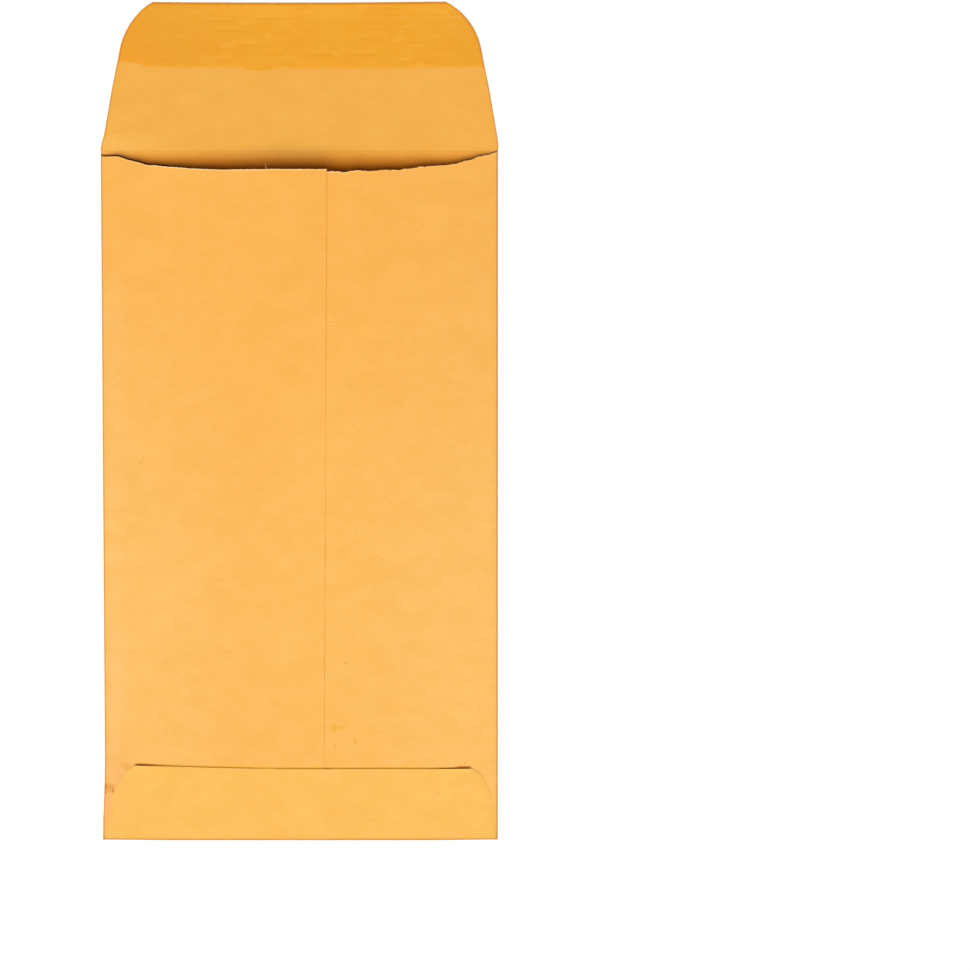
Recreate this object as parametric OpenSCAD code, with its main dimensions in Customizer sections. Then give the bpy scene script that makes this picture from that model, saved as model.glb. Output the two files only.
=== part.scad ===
// Open-end kraft paper envelope, lying on its front with the seal flap laid open.
// One blank of paper is folded at both sides, lapped and glued up the back, and closed
// by the bottom flap. The pocket gapes a little at its mouth. Millimetres, +Z up,
// +Y towards the seal flap, origin under the middle of the whole outline.

/* [Body] */
// Width over the side folds
body_w = 80; // [60:1:120]
// Length from the bottom fold to the score line of the seal flap
body_l = 139; // [100:1:200]
// Thickness of the kraft paper
paper_t = 0.14; // [0.1:0.01:0.3]

/* [Pocket] */
// Clear height of the mouth in its middle, measured at the score line
mouth_gap = 5; // [1.5:0.1:8]
// Height inside the side folds at the mouth
side_gap = 0.5; // [0.2:0.1:1]
// Height left inside the pocket at the bottom fold
nip_gap = 0.1; // [0.06:0.01:0.3]
// How the gape dies out towards the bottom: 1 is a straight taper
gape_power = 1.1; // [1:0.1:2]

/* [Back seam] */
// Distance of the seam edge to the right of the middle
seam_x = 5.4; // [-10:0.1:10]
// Width of the glued lap under the seam edge
lap_w = 9.5; // [6:0.5:14]
// Width of the ramp where the upper ply climbs onto the lower one
lap_ramp = 3; // [1:0.1:6]

/* [Throat] */
// Depth of the throat below the score line in its middle, on the left ply
throat_dip = 3.9; // [1.5:0.1:12]
// How much lower the right ply is cut at the seam
throat_step = 0.5; // [0:0.1:1]
// Width of the level shoulder at the left side fold
shoulder_w = 3.2; // [1:0.1:6]
// Depth of the shoulder below the score line
shoulder_dip = 0.85; // [0.3:0.05:1.2]
// Depth of the right ply's line at its side fold, up to which it climbs without a shoulder
corner_dip = 0.35; // [0.35:0.05:1.2]
// How late the left ply's line bends up to its shoulder: 2 is a parabola
left_curve = 4.7; // [2:0.1:6]
// How late the right ply's line bends up to its side fold
right_curve = 3.1; // [2:0.1:6]
// Height of the teeth of the torn throat edge
tooth_h = 0.08; // [0:0.01:0.1]

/* [Bottom flap] */
// Height of the bottom flap above the bottom fold
bottom_flap_h = 14.6; // [10:0.1:30]
// Inset of its sides from the side folds at the bottom fold
bottom_flap_foot = 0.3; // [0.2:0.1:1.5]
// Inset where its leaning sides start to bow in
bottom_flap_inset = 1.3; // [1:0.1:6]
// How much further in they bow up to the short slant of the corners
bottom_flap_bow = 2.5; // [0.5:0.1:4]
// Width of its straight top edge
bottom_flap_top_w = 68.5; // [40:0.5:110]
// Sag of the top edge in its middle
bottom_flap_sag = 0.25; // [0:0.05:1]

/* [Seal flap] */
// Height of the seal flap above the score line
flap_l = 30.2; // [20:0.1:45]
// Lean of its sides from upright
flap_lean = 9.7; // [0:0.1:15]
// Radius of its corners
flap_corner_r = 13.4; // [6:0.1:18]
// How much of the round corners the straight top edge cuts off
flap_top_cut = 1.4; // [0:0.1:3]
// Width of the score line pressed into the paper
score_w = 0.5; // [0.3:0.1:1]

/* [Gum] */
// Height of the gum band at its deepest place, up to the top of the flap
gum_h = 13.7; // [6:0.1:18]
// Thickness of the dried gum
gum_t = 0.05; // [0.02:0.01:0.1]
// Margin between the gum and the edge of the flap
gum_margin = 0.2; // [0.1:0.1:2]
// Place of the lowest point of its lower edge
gum_low_x = -9.5; // [-20:0.5:20]
// How far the lower edge climbs to the left side
gum_climb_left = 2; // [0:0.1:4]
// How far the lower edge climbs to the right side
gum_climb_right = 0.6; // [0:0.1:4]

/* [Colours] */
// Kraft paper
kraft = "#F7B557";
// Dried gum
gum_colour = "#F0A132";

/* [Hidden] */

// Places along Y, and half of the width
bottom_y = -(body_l + flap_l) / 2;
score_y = bottom_y + body_l;
half_w = body_w / 2;

// Plies that lie on each other
body_plies = 2;
bottom_plies = 3;

// Places of the ends of the solids inside the bottom fold
back_start = bottom_y + 1.5 * paper_t;
room_start = bottom_y + 3 * paper_t;
// How far cutters reach past what they cut, and how tall they are
over = 4;
tall = 60;

// Grid of the lofts: steps round a side fold and across, and stations along
arc_steps = 4;
top_steps = 36;
body_stations = 18;
flap_stations = 5;
// Even points across stop this far short of the sides
side_clear = 1.5;
// Stations round the bottom fold, as angles up from its outermost line
nose_angles = [24, 42, 64];

// Steps of the throat line on each ply, and its run from the upper ply's corner down to the lower one
left_steps = 44;
right_steps = 60;
corner_run = 0.2;
// The torn teeth are two waves, in degrees a millimetre. The left ply is torn more cleanly
tooth_rates = [290, 173];
tooth_phase = 40;
left_tooth_share = 0.5;

// The bowed stretch of the bottom flap's sides runs from this share of its height
// up to this far below its top edge, by this power
bow_start = 0.55;
crown_drop = 1;
bow_power = 1.5;
bow_steps = 8;

// Depth of the score line, and how far its cutter stands above the sheet
score_depth = 0.35 * paper_t;
score_clear = 0.04;
// How far the seal flap's solid reaches into the front panel
flap_root = 2;
corner_facets = 96;
// Steps of the gum's lower edge, and the power by which it climbs
gum_steps = 40;
gum_power = 1.2;

// Share of the way from the bottom fold to the score line
function along(y) = max(0, (y - bottom_y) / body_l);
// Height inside the side folds, which open towards the mouth
function side_room(y) = nip_gap + (side_gap - nip_gap) * along(y);
// Extra height in the middle of the pocket
function bulge(y) = (mouth_gap - side_gap) * pow(along(y), gape_power);
// Radius of the side fold round a number of plies
function fold_r(y, plies) = (plies * paper_t + side_room(y)) / 2;
// Bowed height of a ply across the width: a parabola between the side folds
function bow(x, y) = bulge(y) * max(0, 1 - pow(x / (half_w - fold_r(y, body_plies)), 2));

// Where the upper ply starts to climb, and where it lies on the lower one
lap_x = seam_x - lap_w;
ramp_x = lap_x - lap_ramp;
// Width of the step at the free edge of a ply
edge_x = 0.02;

// Rise of the upper ply over the lower one, as stops [x, rise] from right to left
outer_stops = [[seam_x + edge_x, 0], [seam_x, 1], [lap_x, 1], [ramp_x, 0]];
// Hollow beside the hidden edge of the lower ply, seen from inside
inner_stops = [[lap_x + edge_x, 0], [lap_x, 1], [ramp_x, 0]];

// Even points across the width, with the stops sorted in, from right to left
function even_xs(reach) = [for (i = [1:top_steps - 1]) reach * (1 - 2 * i / top_steps)];
function stop_xs(stops) = [for (s = stops) s[0]];
function clear_of(x, xs) = min([for (s = xs) abs(x - s)]) > body_w / top_steps / 2;
function sorted_down(xs) = len(xs) == 0 ? [] : let (m = xs[floor(len(xs) / 2)])
    concat(
        sorted_down([for (x = xs) if (x > m) x]),
        [for (x = xs) if (x == m) x],
        sorted_down([for (x = xs) if (x < m) x])
    );
function cross_xs(stops) = let (fixed = stop_xs(stops))
    sorted_down(concat(fixed, [for (x = even_xs(half_w - side_clear)) if (clear_of(x, fixed)) x]));
function rise_at(x, stops) = paper_t * lookup(x, stops);

// One closed section of the loft in X and Z: side fold, bowed top, side fold
function section(y, plies, floor_z, stops, xs) =
    let (
        r = fold_r(y, body_plies) - floor_z + (plies - body_plies) * paper_t / 2,
        cx = half_w - fold_r(y, body_plies),
        top_z = floor_z + 2 * r
    )
    concat(
        [for (i = [0:arc_steps]) let (a = -90 + 180 * i / arc_steps)
            [cx + r * cos(a), floor_z + r + r * sin(a)]],
        [for (x = xs) [x, top_z + bow(x, y) + rise_at(x, stops)]],
        [for (i = [0:arc_steps]) let (a = 90 + 180 * i / arc_steps)
            [-cx + r * cos(a), floor_z + r + r * sin(a)]]
    );

// A section squeezed towards its middle height, for the round of the bottom fold
function squeezed(points, mid_z, k) = [for (p = points) [p[0], mid_z + (p[1] - mid_z) * k]];

// A closed skin over a row of sections: places holds one Y for each.
// Each end is a fan round a point in its middle, at the height mid_z
module loft(places, sections, mid_z) {
    n = len(sections[0]);
    last = len(places) - 1;
    points = [for (j = [0:last]) for (p = sections[j]) [p[0], places[j], p[1]]];
    hubs = [[0, places[0], mid_z], [0, places[last], mid_z]];
    hub = len(points);
    sides = [for (j = [0:last - 1]) for (i = [0:n - 1]) let (a = j * n + i, b = j * n + (i + 1) % n)
        each [[a, b, a + n], [b, b + n, a + n]]];
    near_end = [for (i = [0:n - 1]) [hub, (i + 1) % n, i]];
    far_end = [for (i = [0:n - 1]) [hub + 1, last * n + i, last * n + (i + 1) % n]];
    polyhedron(points = concat(points, hubs), faces = concat(sides, near_end, far_end), convexity = 6);
}

function steps_between(a, b, n) = [for (i = [0:n]) a + (b - a) * i / n];

// Outside of the front panel, the side folds and the lapped back plies, as a solid
module pocket_outside() {
    xs = cross_xs(outer_stops);
    ys = steps_between(back_start, score_y, body_stations);
    loft(ys, [for (y = ys) section(y, body_plies, 0, outer_stops, xs)], fold_r(back_start, body_plies));
}

// The room inside the pocket, run out past the mouth
module pocket_room() {
    xs = cross_xs(inner_stops);
    ys = concat(steps_between(room_start, score_y, body_stations), [score_y + over]);
    loft(ys, [for (y = ys) section(y, body_plies, paper_t, inner_stops, xs)], fold_r(room_start, body_plies));
}

// Throat line of one ply: dip in the middle, edge_dip on the last level_w before the side fold
function throat_depth(x, dip, edge_dip, level_w, curve) =
    let (u = min(1, abs(x) / (half_w - level_w)))
    edge_dip + (dip - edge_dip) * (1 - pow(u, curve));
function teeth(x) = tooth_h / 2 * (sin(x * tooth_rates[0]) + sin(x * tooth_rates[1] + tooth_phase));
function throat_at(x) = x < seam_x
    ? left_tooth_share * teeth(x) - throat_depth(x, throat_dip, shoulder_dip, shoulder_w, left_curve)
    : teeth(x) - throat_depth(x, throat_dip + throat_step, corner_dip, 0, right_curve);

// Everything above the front panel and past the throat line
module throat_cut() {
    reach = half_w + over;
    left = [for (x = steps_between(-reach, seam_x, left_steps)) [x, throat_at(x)]];
    right = [for (x = steps_between(seam_x + corner_run, reach, right_steps)) [x, throat_at(x)]];
    translate([0, score_y, paper_t]) linear_extrude(tall)
        polygon(concat(left, right, [[reach, 2 * over], [-reach, 2 * over]]));
}

// Outline of the bottom flap: leaning side, bowed side, short slant to the corner, sagging top
function bow_points() =
    let (
        x0 = half_w - bottom_flap_inset,
        y0 = bottom_flap_h * bow_start,
        reach = bottom_flap_h - crown_drop - y0
    )
    [for (i = [0:bow_steps]) let (u = i / bow_steps)
        [x0 - bottom_flap_bow * pow(u, bow_power), y0 + reach * u]];
module bottom_flap_outline() {
    side = bow_points();
    foot = [half_w - bottom_flap_foot, 0];
    crown = [bottom_flap_top_w / 2, bottom_flap_h];
    middle = [0, bottom_flap_h - bottom_flap_sag];
    right = concat([foot], side, [crown]);
    left = [for (i = [len(right) - 1:-1:0]) [-right[i][0], right[i][1]]];
    polygon(concat(right, [middle], left));
}

// Bottom flap: the front panel carried round the bottom fold and up over the back
module bottom_flap() {
    xs = cross_xs(outer_stops);
    mid_z = fold_r(bottom_y, bottom_plies);
    nose = [for (a = nose_angles) [bottom_y + mid_z * (cos(nose_angles[0]) - cos(a)), sin(a)]];
    start = bottom_y + mid_z * cos(nose_angles[0]);
    ys = steps_between(start, bottom_y + bottom_flap_h + 1, flap_stations);
    intersection() {
        loft(
            concat([for (s = nose) s[0]], ys),
            concat(
                [for (s = nose) squeezed(section(s[0], bottom_plies, 0, outer_stops, xs), mid_z, s[1])],
                [for (y = ys) section(y, bottom_plies, 0, outer_stops, xs)]
            ),
            mid_z
        );
        translate([0, bottom_y, -over]) linear_extrude(tall) bottom_flap_outline();
    }
}

// Outline of the seal flap above the score line: leaning sides, round corners, straight top
module seal_flap_outline(inset = 0) {
    r = flap_corner_r - inset;
    cy = flap_l + flap_top_cut - flap_corner_r;
    cx = half_w - cy * tan(flap_lean) - flap_corner_r / cos(flap_lean);
    tangent = [cx + r * cos(flap_lean), cy + r * sin(flap_lean)];
    foot_x = half_w - inset / cos(flap_lean);
    intersection() {
        union() {
            polygon([[-foot_x, 0], [foot_x, 0], tangent, [cx, flap_l], [-cx, flap_l], [-tangent[0], tangent[1]]]);
            for (side = [-1, 1]) translate([side * cx, cy]) circle(r = r, $fn = corner_facets);
        }
        translate([-half_w, 0]) square([body_w, flap_l - inset]);
    }
}

// Seal flap: the front panel carried on past the score line, with a root inside the panel
module seal_flap() {
    translate([0, score_y, 0]) linear_extrude(paper_t) {
        seal_flap_outline();
        translate([-half_w + flap_root, -flap_root]) square([body_w - 2 * flap_root, 2 * flap_root]);
    }
}

// Shallow groove of the score line across the inside of the sheet
module score_line() {
    translate([-half_w - over, score_y, paper_t]) rotate([90, 0, 90])
        linear_extrude(body_w + 2 * over)
            polygon([[-score_w / 2, score_clear], [-score_w / 2, 0], [0, -score_depth],
                [score_w / 2, 0], [score_w / 2, score_clear]]);
}

// The whole folded and glued sheet
module envelope_sheet() {
    color(kraft) difference() {
        union() {
            difference() {
                union() {
                    pocket_outside();
                    bottom_flap();
                }
                pocket_room();
                throat_cut();
            }
            seal_flap();
        }
        score_line();
    }
}

// Rise of the gum's lower edge over its lowest point
function gum_rise(x) = x < gum_low_x
    ? gum_climb_left * pow((gum_low_x - x) / (half_w + gum_low_x), gum_power)
    : gum_climb_right * pow((x - gum_low_x) / (half_w - gum_low_x), gum_power);

// Dried gum along the top of the seal flap, down to its sagging lower edge
module flap_gum() {
    lower = [for (x = steps_between(-half_w, half_w, gum_steps)) [x, flap_l - gum_h + gum_rise(x)]];
    color(gum_colour) translate([0, score_y, paper_t]) linear_extrude(gum_t) intersection() {
        seal_flap_outline(gum_margin);
        polygon(concat(lower, [[half_w, flap_l], [-half_w, flap_l]]));
    }
}

envelope_sheet();
flap_gum();
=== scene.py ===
"""Open-end kraft paper envelope, seam side up with its seal flap laid open.

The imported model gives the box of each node. The paper is rebuilt over it as one folded sheet worked out
with numpy: side folds, lapped seam, torn throat, glued bottom flap and seal flap. The gum is a thin
film on the flap. Lengths are millimetres until a mesh is written, which is in metres.
"""

import logging
import math
from dataclasses import dataclass, field
from enum import Enum
from typing import Any

import bpy
import numpy as np
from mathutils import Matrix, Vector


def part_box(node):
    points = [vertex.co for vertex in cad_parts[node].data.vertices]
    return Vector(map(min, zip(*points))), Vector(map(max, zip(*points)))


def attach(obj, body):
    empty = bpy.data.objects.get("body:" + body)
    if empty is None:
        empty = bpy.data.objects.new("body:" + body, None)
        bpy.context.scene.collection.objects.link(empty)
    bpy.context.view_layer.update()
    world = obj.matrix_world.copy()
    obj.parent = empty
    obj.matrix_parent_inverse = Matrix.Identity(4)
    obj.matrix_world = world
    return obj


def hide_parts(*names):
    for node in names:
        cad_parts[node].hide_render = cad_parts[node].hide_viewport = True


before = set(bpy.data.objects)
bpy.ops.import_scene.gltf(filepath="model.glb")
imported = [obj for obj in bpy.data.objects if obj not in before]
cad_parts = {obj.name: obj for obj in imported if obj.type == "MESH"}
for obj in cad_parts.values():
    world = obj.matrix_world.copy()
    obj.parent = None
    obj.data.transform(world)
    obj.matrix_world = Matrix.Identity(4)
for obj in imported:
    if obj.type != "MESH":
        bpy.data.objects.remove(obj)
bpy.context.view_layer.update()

MM = 0.001
LOG = logging.getLogger("envelope")

# The photograph's frame, and the scale that its envelope was measured at
PHOTO_W = 970
PHOTO_H = 971
PIXELS_PER_MM = 4.957
BODY_MIDDLE_PX = 299.3
OUTLINE_MIDDLE_PX = 421.4

# A distance in millimetres that counts as far from any edge, and the depth of the paper's relief
FAR = 10.0
RELIEF_MM = 0.08

Array = np.ndarray
Size = tuple[float, float, float]


class Face(Enum):
    """The two faces of the paper, as the value kept on each corner of the mesh."""

    OUTSIDE = 0.0
    INSIDE = 1.0


def linear(hex_colour: str) -> tuple[float, ...]:
    """Turn an sRGB hex colour to linear light.

    Args:
        hex_colour: Six hex digits after a hash.

    Returns:
        Red, green, blue and a full alpha, as a shader socket takes them.
    """
    parts = [int(hex_colour[i : i + 2], 16) / 255 for i in (1, 3, 5)]
    light = [c / 12.92 if c <= 0.04045 else ((c + 0.055) / 1.055) ** 2.4 for c in parts]
    return (*light, 1.0)


def smooth(a: float, b: float, x: Array) -> Array:
    """Rise softly from 0 at a to 1 at b, level at both ends."""
    u = np.clip((x - a) / (b - a), 0.0, 1.0)
    return u * u * (3 - 2 * u)


def waves(x: Array, y: Array, seed: int, length: float, count: int = 7) -> Array:
    """Sum plane waves of about one length that run in many directions.

    Args:
        x: Places across.
        y: Places along.
        seed: Picks the directions and phases.
        length: Wavelength in millimetres, give or take a third.
        count: Number of waves.

    Returns:
        Heights from about -1 to 1, of the same shape as x and y together.
    """
    rng = np.random.default_rng(seed)
    turn = rng.uniform(0, math.pi, count)
    size = length * rng.uniform(0.7, 1.4, count)
    phase = rng.uniform(0, 2 * math.pi, count)
    total = 0.0
    for k in range(count):
        way = x * math.cos(turn[k]) + y * math.sin(turn[k])
        total = total + np.cos(way * 2 * math.pi / size[k] + phase[k])
    return total / math.sqrt(count) / 1.4


def ragged(x: Array, seed: int, pitch: float) -> Array:
    """Join random heights, one each pitch, by straight lines: a torn edge's teeth from -1 to 1."""
    knots = np.arange(-60.0, 60.0, pitch)
    rng = np.random.default_rng(seed)
    knots = knots + rng.uniform(-0.3, 0.3, knots.size) * pitch
    return np.interp(x, knots, rng.uniform(-1, 1, knots.size))


@dataclass(frozen=True)
class EnvelopeSizes:
    """Sizes of the envelope in millimetres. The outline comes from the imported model's box."""

    half_w: float
    bottom_y: float
    top_y: float
    paper_t: float = 0.14
    flap_l: float = 30.08
    mouth_gap: float = 5.0
    side_gap: float = 0.5
    nip_gap: float = 0.1
    gape_power: float = 1.1
    ripple: float = 0.05
    fine_ripple: float = 0.022
    # The seam is at seam_x where y is seam_y
    seam_x: float = 5.36
    seam_y: float = -15.0
    seam_tilt: float = 0.0057
    seam_waver: float = 0.02
    lap_w: float = 9.5
    lap_ramp: float = 6.0
    ply_gap: float = 0.012
    left_lean: float = 0.95
    left_return: float = 0.5
    flap_shift: float = 0.25
    corner_rise: float = 0.13
    top_sag: float = 0.095
    top_tilt: float = 0.0017
    top_curve: float = 0.00021
    corner_spread: float = 0.75
    corner_from: float = 25.0
    corner_l: float = 5.0
    trim: float = 0.12

    @classmethod
    def from_frame(cls) -> "EnvelopeSizes":
        """Read the outline from the sheet's node. The paper ends a trace inside it at both ends."""
        low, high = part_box("envelope_sheet")
        return cls(half_w=high[0] / MM, bottom_y=low[1] / MM + cls.trim, top_y=high[1] / MM - cls.trim)

    @property
    def score_y(self) -> float:
        """Place of the score line."""
        return self.top_y - self.flap_l

    def along(self, y: Array) -> Array:
        """Share of the way from the bottom fold to the score line."""
        return np.clip((y - self.bottom_y) / (self.score_y - self.bottom_y), 0.0, None)

    def fold_r(self, y: Array) -> Array:
        """Outer radius of the side folds: half of two plies and the room between them."""
        room = self.nip_gap + (self.side_gap - self.nip_gap) * self.along(y)
        return self.paper_t + room / 2

    def seam_at(self, y: Array) -> Array:
        """Place of the seam edge, which leans a little."""
        return self.seam_x + self.seam_tilt * (y - self.seam_y) + self.seam_waver * ragged(y, 31, 9.0)

    def out_of_square(self, corners: Array) -> Array:
        """Move corners by the small faults of this envelope's folding.

        The left fold leans in towards the bottom and comes back a little at the end of it. The seal
        flap sits a trace to the right, its left corner is cut wider, and its top edge sags as a tilted
        parabola. The bottom fold bends up a trace at its corners.

        Args:
            corners: Places in millimetres, one row each.

        Returns:
            The moved places.
        """
        x, y = corners[..., 0], corners[..., 1]
        down = 1 - np.clip(self.along(y), 0.0, 1.0)
        lean = self.left_lean * down - self.left_return * smooth(0.88, 1.0, down)
        left = np.clip(-x / self.half_w, 0.0, 1.0)
        over = y - self.score_y
        shift = self.flap_shift * np.where(x > 0, smooth(-1.0, 3.0, over), smooth(0.0, 4.0, over))
        spread = left * np.clip((over - self.corner_from) / self.corner_l, 0.0, 1.0) ** 2
        shift = shift - self.corner_spread * spread
        rise = self.corner_rise * smooth(0.6, 1.0, np.abs(x) / self.half_w) * smooth(0.85, 1.0, down)
        sag = np.minimum(self.top_tilt * x + self.top_curve * x * x - self.top_sag, 0.1)
        moved = corners.copy()
        moved[..., 0] = x + lean * left**1.5 + shift
        moved[..., 1] = y + rise + sag * smooth(0.6 * self.flap_l, self.flap_l, over)
        return moved

    def bow(self, x: Array, y: Array) -> Array:
        """Height of the back over its side folds.

        A parabola across the width, which dies out towards the bottom fold as a power of the way
        there, with soft waves that vanish at the side folds.
        """
        across = np.clip(1 - (x / (self.half_w - self.fold_r(y))) ** 2, 0.0, 1.0)
        gape = (self.mouth_gap - self.side_gap) * self.along(y) ** self.gape_power
        low = 0.3 + 0.7 * self.along(y)
        ripple = self.ripple * waves(x, y, 5, 46.0) + self.fine_ripple * waves(x * 1.4, y * 0.8, 6, 17.0)
        return across * (gape * 0.985 + low * ripple)


@dataclass(frozen=True)
class LooseFibre:
    """A single fibre that stands off the torn lip: a thin tapering thread with four sides."""

    x: float = -6.4
    length: float = 1.2
    lean: float = -0.25
    drop: float = 0.12
    root_r: float = 0.07
    tip_r: float = 0.025
    buried: float = 0.15
    torn: float = 0.15
    stations: int = 6

    def shell(self, lip_y: float, lip_z: float) -> tuple[Array, Array]:
        """Carry a small square from the lip out to the tip.

        Args:
            lip_y: Place of the lip at the fibre's root.
            lip_z: Height of the lip's middle there.

        Returns:
            Corners and four-sided faces.
        """
        t = np.linspace(0, 1, self.stations)[:, None]
        r = self.root_r + (self.tip_r - self.root_r) * t
        turn = np.array([[0.25, 0.75, 1.25, 1.75]]) * math.pi
        x = self.x + self.lean * t**2 + r * np.cos(turn)
        y = lip_y - self.buried + (self.length + self.buried) * t + 0 * turn
        z = lip_z - self.drop * t + r * np.sin(turn)
        corners = np.stack([x, y, z], axis=-1).reshape(-1, 3)
        ring = np.arange(4 * self.stations).reshape(-1, 4)
        on = np.roll(ring, -1, axis=1)
        sides = np.stack([ring[:-1], ring[1:], on[1:], on[:-1]], axis=-1).reshape(-1, 4)
        return corners, np.concatenate([sides, ring[:1], ring[-1:, ::-1]])


@dataclass(frozen=True)
class Tear:
    """A soft bite out of the lip, or a bump on it where the depth is negative."""

    x: float
    half_w: float
    depth: float

    def at(self, x: Array) -> Array:
        """Depth at places across the envelope."""
        return self.depth * np.exp(-(((x - self.x) / self.half_w) ** 2))


@dataclass(frozen=True)
class Throat:
    """The torn throat line of one back ply, as depths below the score line."""

    dip: float
    power: float
    coarse: float
    fine: float
    seed: int
    shoulder_w: float
    shoulder_dip: float
    tears: tuple[Tear, ...]

    def depth(self, x: Array, half_w: float) -> Array:
        """Work out the depth of the throat.

        It is level on a shoulder at the side fold, then falls to the dip as one less a power of the
        way still to go. The tears are added, and past the shoulder torn teeth of two sizes.

        Args:
            x: Places across the envelope.
            half_w: Half of the envelope's width.

        Returns:
            Depths below the score line, in millimetres.
        """
        u = np.clip(1 - np.abs(x) / (half_w - self.shoulder_w), 0.0, 1.0)
        level = self.shoulder_dip + (self.dip - self.shoulder_dip) * (1 - (1 - u) ** self.power)
        teeth = self.coarse * ragged(x, self.seed, 0.85) + self.fine * ragged(x, self.seed + 1, 0.3)
        return level + smooth(0.0, 0.05, u) * teeth + sum(tear.at(x) for tear in self.tears)


class SheetMesh:
    """Corners and faces of a thin closed sheet: every outer corner has an inner one behind it."""

    def __init__(self) -> None:
        """Start with no corners."""
        self.outer: list[Array] = []
        self.inner: list[Array] = []
        self.torn: list[Array] = []
        self.lapped: list[Array] = []
        self.quads: list[Array] = []
        self.count = 0

    def corners(self, outer: Array, inner: Array, torn: Array | float = FAR, lapped: float = 0.0) -> Array:
        """Add a grid of corners.

        Args:
            outer: Rows by columns by 3, on the outside face.
            inner: The same on the inside face.
            torn: Distance from a torn edge, one for all or rows by columns.
            lapped: 1 for the bottom flap, which laps over the back.

        Returns:
            The corners' numbers, rows by columns.
        """
        rows, columns = outer.shape[:2]
        self.outer.append(outer.reshape(-1, 3))
        self.inner.append(inner.reshape(-1, 3))
        self.torn.append(np.broadcast_to(torn, (rows, columns)).reshape(-1))
        self.lapped.append(np.full(rows * columns, lapped))
        numbers = np.arange(self.count, self.count + rows * columns).reshape(rows, columns)
        self.count += rows * columns
        return numbers

    def faces(self, numbers: Array) -> None:
        """Join a grid of corner numbers by four-sided faces."""
        a, b = numbers[:-1, :-1], numbers[:-1, 1:]
        c, d = numbers[1:, 1:], numbers[1:, :-1]
        self.quads.append(np.stack([a, b, c, d], axis=-1).reshape(-1, 4))

    def closed(self) -> tuple[Array, Array, dict[str, Array]]:
        """Close the sheet.

        The inside face repeats the outside one, turned over. A rim joins the two along every edge
        that only one outer face uses.

        Returns:
            Corners, faces, and each corner's values: its distance from a torn edge, its Face and
            whether it is on the bottom flap.
        """
        top = np.concatenate(self.quads)
        edges = np.concatenate([top[:, [k, (k + 1) % 4]] for k in range(4)])
        ends = np.sort(edges, axis=1)
        _, first, uses = np.unique(ends, axis=0, return_index=True, return_counts=True)
        free = edges[first[uses == 1]]
        n = self.count
        rim = np.stack([free[:, 1], free[:, 0], free[:, 0] + n, free[:, 1] + n], axis=-1)
        faces = np.concatenate([top, top[:, ::-1] + n, rim])
        corners = np.concatenate(self.outer + self.inner)
        values = {
            "torn": np.concatenate(self.torn * 2),
            "inside": np.repeat([Face.OUTSIDE.value, Face.INSIDE.value], n),
            "lapped": np.concatenate(self.lapped * 2),
        }
        p = corners[faces]
        volume = np.einsum("ij,ij->i", p[:, 0], np.cross(p[:, 1], p[:, 2])).sum()
        volume += np.einsum("ij,ij->i", p[:, 0], np.cross(p[:, 2], p[:, 3])).sum()
        return corners, faces if volume > 0 else faces[:, ::-1], values


def new_object(name: str, data: Any) -> Any:
    """Link a new object with its data at the origin, and return it."""
    item = bpy.data.objects.new(name, data)
    bpy.context.scene.collection.objects.link(item)
    return item


def mesh_object(
    name: str, corners: Array, faces: Array, values: dict[str, Array] | None = None, sharp: float = 45.0
) -> Any:
    """Put arrays into a mesh and link its object at the origin.

    Args:
        name: Name of the piece.
        corners: Places in millimetres.
        faces: Four corner numbers a face.
        values: Named numbers, one for each corner.
        sharp: Angle in degrees past which an edge stays sharp.

    Returns:
        The new object.
    """
    mesh = bpy.data.meshes.new(name)
    mesh.vertices.add(len(corners))
    mesh.vertices.foreach_set("co", np.ascontiguousarray(corners * MM, dtype=np.float32).ravel())
    mesh.loops.add(faces.size)
    mesh.loops.foreach_set("vertex_index", np.ascontiguousarray(faces, dtype=np.int32).ravel())
    mesh.polygons.add(len(faces))
    mesh.polygons.foreach_set("loop_start", np.arange(0, faces.size, 4, dtype=np.int32))
    mesh.polygons.foreach_set("use_smooth", np.ones(len(faces), dtype=bool))
    mesh.update(calc_edges=True)
    mesh.validate()
    mesh.set_sharp_from_angle(angle=math.radians(sharp))
    for key, numbers in (values or {}).items():
        layer = mesh.attributes.new(key, "FLOAT", "POINT")
        layer.data.foreach_set("value", np.ascontiguousarray(numbers, dtype=np.float32))
    return new_object(name, mesh)


@dataclass(frozen=True)
class Noise:
    """A noise: its features' size along X, Y and Z in millimetres, its octaves and its shift in metres."""

    size_mm: Size
    detail: float
    shift: float


@dataclass(frozen=True)
class Spot:
    """A mark on the paper: its middle and half sizes in millimetres, its strength and its colour."""

    x: float
    y: float
    half_x: float
    half_y: float
    strength: float
    colour: str


class Value:
    """An output socket to reckon with: each sum adds a node to the socket's tree."""

    def __init__(self, shading: "Shading", socket: Any) -> None:
        """Wrap a socket of a tree."""
        self.shading = shading
        self.socket = socket

    def maths(self, operation: str, *others: Any, clamp: bool = False) -> "Value":
        """Work out one sum on this value and others, which may be numbers."""
        links = dict(enumerate((self, *others)))
        return self.shading.add("Math", links, operation=operation, use_clamp=clamp)

    def __add__(self, other: Any) -> "Value":
        """Add a value or a number."""
        return self.maths("ADD", other)

    def __sub__(self, other: Any) -> "Value":
        """Take away a value or a number."""
        return self.maths("SUBTRACT", other)

    def __rsub__(self, other: float) -> "Value":
        """Take this value from a number."""
        return self * -1.0 + other

    def __mul__(self, other: Any) -> "Value":
        """Multiply by a value or a number."""
        return self.maths("MULTIPLY", other)

    def __abs__(self) -> "Value":
        """Drop the sign."""
        return self.maths("ABSOLUTE")

    def level(self, low: float, high: float, start: float = 0.0, end: float = 1.0) -> "Value":
        """Map low..high to start..end, softly and clamped."""
        links = {"Value": self, "From Min": low, "From Max": high, "To Min": start, "To Max": end}
        return self.shading.add("MapRange", links, interpolation_type="SMOOTHSTEP", clamp=True)


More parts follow.
